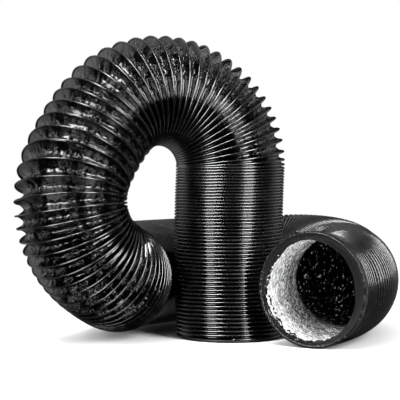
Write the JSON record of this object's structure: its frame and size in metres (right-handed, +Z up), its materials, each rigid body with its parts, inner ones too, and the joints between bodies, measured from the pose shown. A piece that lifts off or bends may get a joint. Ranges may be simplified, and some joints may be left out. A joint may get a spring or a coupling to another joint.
{
  "type": "flexible air duct",
  "caption": "Black film and foil flexible air duct on a spring-wire coil, laid as a column, an arch, an elbow and a floor run that curls to an open mouth.",
  "frame": {"origin": "on the floor under the centre of the laid duct's bounding box", "axes": "+Z up, +X from the arch towards the mouth end, +Y from the open mouth towards the floor run behind the column"},
  "size_m": [0.3721, 0.3163, 0.2947],
  "materials": {
    "black_film": "glossy crinkled film",
    "foil_lining": "bright crinkled foil",
    "wire_in_film": "spring steel wire in a glossy black film fold",
    "hem_film": "turned-in film, satin"
  },
  "bodies": {
    "column": {"film_column": "black_film", "foil_column": "foil_lining", "hem_foot": "hem_film", "wire_column": "wire_in_film"},
    "arch_right": {"film_arch_right": "black_film", "foil_arch_right": "foil_lining", "wire_arch_right": "wire_in_film"},
    "arch_left": {"film_arch_left": "black_film", "foil_arch_left": "foil_lining", "wire_arch_left": "wire_in_film"},
    "elbow": {"film_elbow_closed": "black_film", "film_elbow_open": "black_film", "foil_elbow_closed": "foil_lining", "foil_elbow_open": "foil_lining", "wire_elbow_closed": "wire_in_film", "wire_elbow_open": "wire_in_film"},
    "tail_run": {"film_tail_run": "black_film", "foil_tail_run": "foil_lining", "wire_tail_run": "wire_in_film"},
    "curve_back": {"film_curve_back": "black_film", "foil_curve_back": "foil_lining", "wire_curve_back": "wire_in_film"},
    "curve_front": {"film_curve_front": "black_film", "foil_curve_front": "foil_lining", "wire_curve_front": "wire_in_film"},
    "mouth": {"film_mouth": "black_film", "foil_mouth": "foil_lining", "hem_mouth": "hem_film", "wire_mouth": "wire_in_film"}
  },
  "joints": [
    {"name": "column_stretch", "type": "slide", "parent": "column", "child": "arch_right", "axis": [0, 0, 1], "range_m": [0, 0.08]},
    {"name": "top_stretch", "type": "slide", "parent": "arch_right", "child": "arch_left", "axis": [-0.9397, -0.342, 0], "range_m": [0, 0.03]},
    {"name": "leg_stretch", "type": "slide", "parent": "arch_left", "child": "elbow", "axis": [0, 0, -1], "range_m": [0, 0.08]},
    {"name": "run_stretch", "type": "slide", "parent": "elbow", "child": "tail_run", "axis": [0.9397, 0.342, 0], "range_m": [0, 0.03]},
    {"name": "mouth_swing_back", "type": "hinge", "parent": "tail_run", "child": "curve_back", "pos_m": [0.08576, 0.15696, 0.05883], "axis": [0, 0, 1], "range_deg": [0, 25]},
    {"name": "mouth_swing_front", "type": "hinge", "parent": "curve_back", "child": "curve_front", "pos_m": [0.18643, 0.04426, 0.05501], "axis": [0, 0, 1], "range_deg": [0, 25]},
    {"name": "mouth_stretch", "type": "slide", "parent": "curve_front", "child": "mouth", "axis": [-0.1378, -0.9905, 0], "range_m": [0, 0.06]}
  ],
  "couplings": [
    {"joint": "leg_stretch", "follows": "column_stretch", "ratio": 1},
    {"joint": "run_stretch", "follows": "top_stretch", "ratio": 1},
    {"joint": "mouth_swing_front", "follows": "mouth_swing_back", "ratio": 1}
  ]
}
